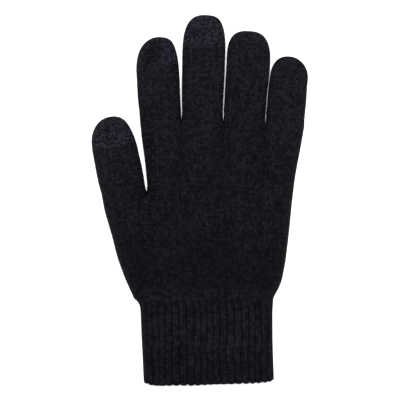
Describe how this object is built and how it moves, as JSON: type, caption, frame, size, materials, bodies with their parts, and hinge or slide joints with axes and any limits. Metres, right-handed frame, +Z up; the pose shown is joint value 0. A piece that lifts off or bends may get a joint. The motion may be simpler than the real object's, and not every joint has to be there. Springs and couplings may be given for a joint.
{
  "type": "touchscreen glove",
  "caption": "Knitted black glove with touchscreen yarn at thumb, index and middle fingertips and a ribbed cuff, bending at its knuckles, thumb and wrist.",
  "frame": {"origin": "centre of the glove's bounding box in plan, on the surface it lies on", "axes": "+Y from cuff to fingertips, +Z up out of the palm side, thumb toward -X"},
  "size_m": [0.1397, 0.24, 0.0148],
  "materials": {
    "black_jersey": "fine knit, matt",
    "black_rib": "rib knit, matt",
    "touch_yarn": "fine knit with a slight metal glint",
    "sewing_thread": "twisted thread",
    "elastic_thread": "covered elastic"
  },
  "bodies": {
    "palm": {"palm": "black_jersey", "crotch_stitch_index_middle": "sewing_thread", "crotch_stitch_middle_ring": "sewing_thread", "crotch_stitch_ring_little": "sewing_thread", "crotch_stitch_thumb": "sewing_thread"},
    "cuff": {"cuff": "black_rib", "cuff_hem": "black_rib", "cuff_elastic_1": "elastic_thread", "cuff_elastic_2": "elastic_thread", "cuff_elastic_3": "elastic_thread", "cuff_elastic_4": "elastic_thread", "cuff_elastic_5": "elastic_thread"},
    "thumb_root": {"thumb_root_tube": "black_jersey"},
    "thumb_end": {"thumb_end_tube": "black_jersey", "thumb_touch_tip": "touch_yarn", "thumb_tip_stitch": "sewing_thread"},
    "index_root": {"index_root_tube": "black_jersey"},
    "index_middle": {"index_middle_tube": "black_jersey"},
    "index_tip": {"index_touch_tip": "touch_yarn", "index_tip_stitch": "sewing_thread"},
    "middle_root": {"middle_root_tube": "black_jersey"},
    "middle_middle": {"middle_middle_tube": "black_jersey"},
    "middle_tip": {"middle_touch_tip": "touch_yarn", "middle_tip_stitch": "sewing_thread"},
    "ring_root": {"ring_root_tube": "black_jersey"},
    "ring_middle": {"ring_middle_tube": "black_jersey"},
    "ring_tip": {"ring_tip": "black_jersey", "ring_tip_stitch": "sewing_thread"},
    "little_root": {"little_root_tube": "black_jersey"},
    "little_middle": {"little_middle_tube": "black_jersey"},
    "little_tip": {"little_tip": "black_jersey", "little_tip_stitch": "sewing_thread"}
  },
  "joints": [
    {"name": "cuff_bend", "type": "hinge", "parent": "palm", "child": "cuff", "pos_m": [0.0046, -0.066, 0.0115], "axis": [-1, 0, 0], "range_deg": [0, 70]},
    {"name": "thumb_root_bend", "type": "hinge", "parent": "palm", "child": "thumb_root", "pos_m": [-0.04931, 0.00225, 0.01455], "axis": [0.9877, 0.1564, 0], "range_deg": [0, 50]},
    {"name": "thumb_end_bend", "type": "hinge", "parent": "thumb_root", "child": "thumb_end", "pos_m": [-0.05268, 0.02349, 0.0138], "axis": [0.9877, 0.1564, 0], "range_deg": [0, 60]},
    {"name": "index_root_bend", "type": "hinge", "parent": "palm", "child": "index_root", "pos_m": [-0.0255, 0.0505, 0.0115], "axis": [1, 0, 0], "range_deg": [0, 70]},
    {"name": "index_middle_bend", "type": "hinge", "parent": "index_root", "child": "index_middle", "pos_m": [-0.02652, 0.07, 0.01145], "axis": [1, 0, 0], "range_deg": [0, 85]},
    {"name": "index_tip_bend", "type": "hinge", "parent": "index_middle", "child": "index_tip", "pos_m": [-0.0275, 0.0886, 0.01145], "axis": [1, 0, 0], "range_deg": [0, 45]},
    {"name": "middle_root_bend", "type": "hinge", "parent": "palm", "child": "middle_root", "pos_m": [0.0016, 0.0505, 0.0115], "axis": [1, 0, 0], "range_deg": [0, 70]},
    {"name": "middle_middle_bend", "type": "hinge", "parent": "middle_root", "child": "middle_middle", "pos_m": [0.00217, 0.0755, 0.01145], "axis": [1, 0, 0], "range_deg": [0, 85]},
    {"name": "middle_tip_bend", "type": "hinge", "parent": "middle_middle", "child": "middle_tip", "pos_m": [0.00272, 0.1, 0.01145], "axis": [1, 0, 0], "range_deg": [0, 45]},
    {"name": "ring_root_bend", "type": "hinge", "parent": "palm", "child": "ring_root", "pos_m": [0.0285, 0.0505, 0.0115], "axis": [1, 0, 0], "range_deg": [0, 70]},
    {"name": "ring_middle_bend", "type": "hinge", "parent": "ring_root", "child": "ring_middle", "pos_m": [0.0299, 0.0705, 0.01145], "axis": [1, 0, 0], "range_deg": [0, 85]},
    {"name": "ring_tip_bend", "type": "hinge", "parent": "ring_middle", "child": "ring_tip", "pos_m": [0.03126, 0.09, 0.01145], "axis": [1, 0, 0], "range_deg": [0, 45]},
    {"name": "little_root_bend", "type": "hinge", "parent": "palm", "child": "little_root", "pos_m": [0.05535, 0.0505, 0.0115], "axis": [1, 0, 0], "range_deg": [0, 70]},
    {"name": "little_middle_bend", "type": "hinge", "parent": "little_root", "child": "little_middle", "pos_m": [0.05657, 0.065, 0.01145], "axis": [1, 0, 0], "range_deg": [0, 85]},
    {"name": "little_tip_bend", "type": "hinge", "parent": "little_middle", "child": "little_tip", "pos_m": [0.05779, 0.0795, 0.01145], "axis": [1, 0, 0], "range_deg": [0, 45]}
  ]
}
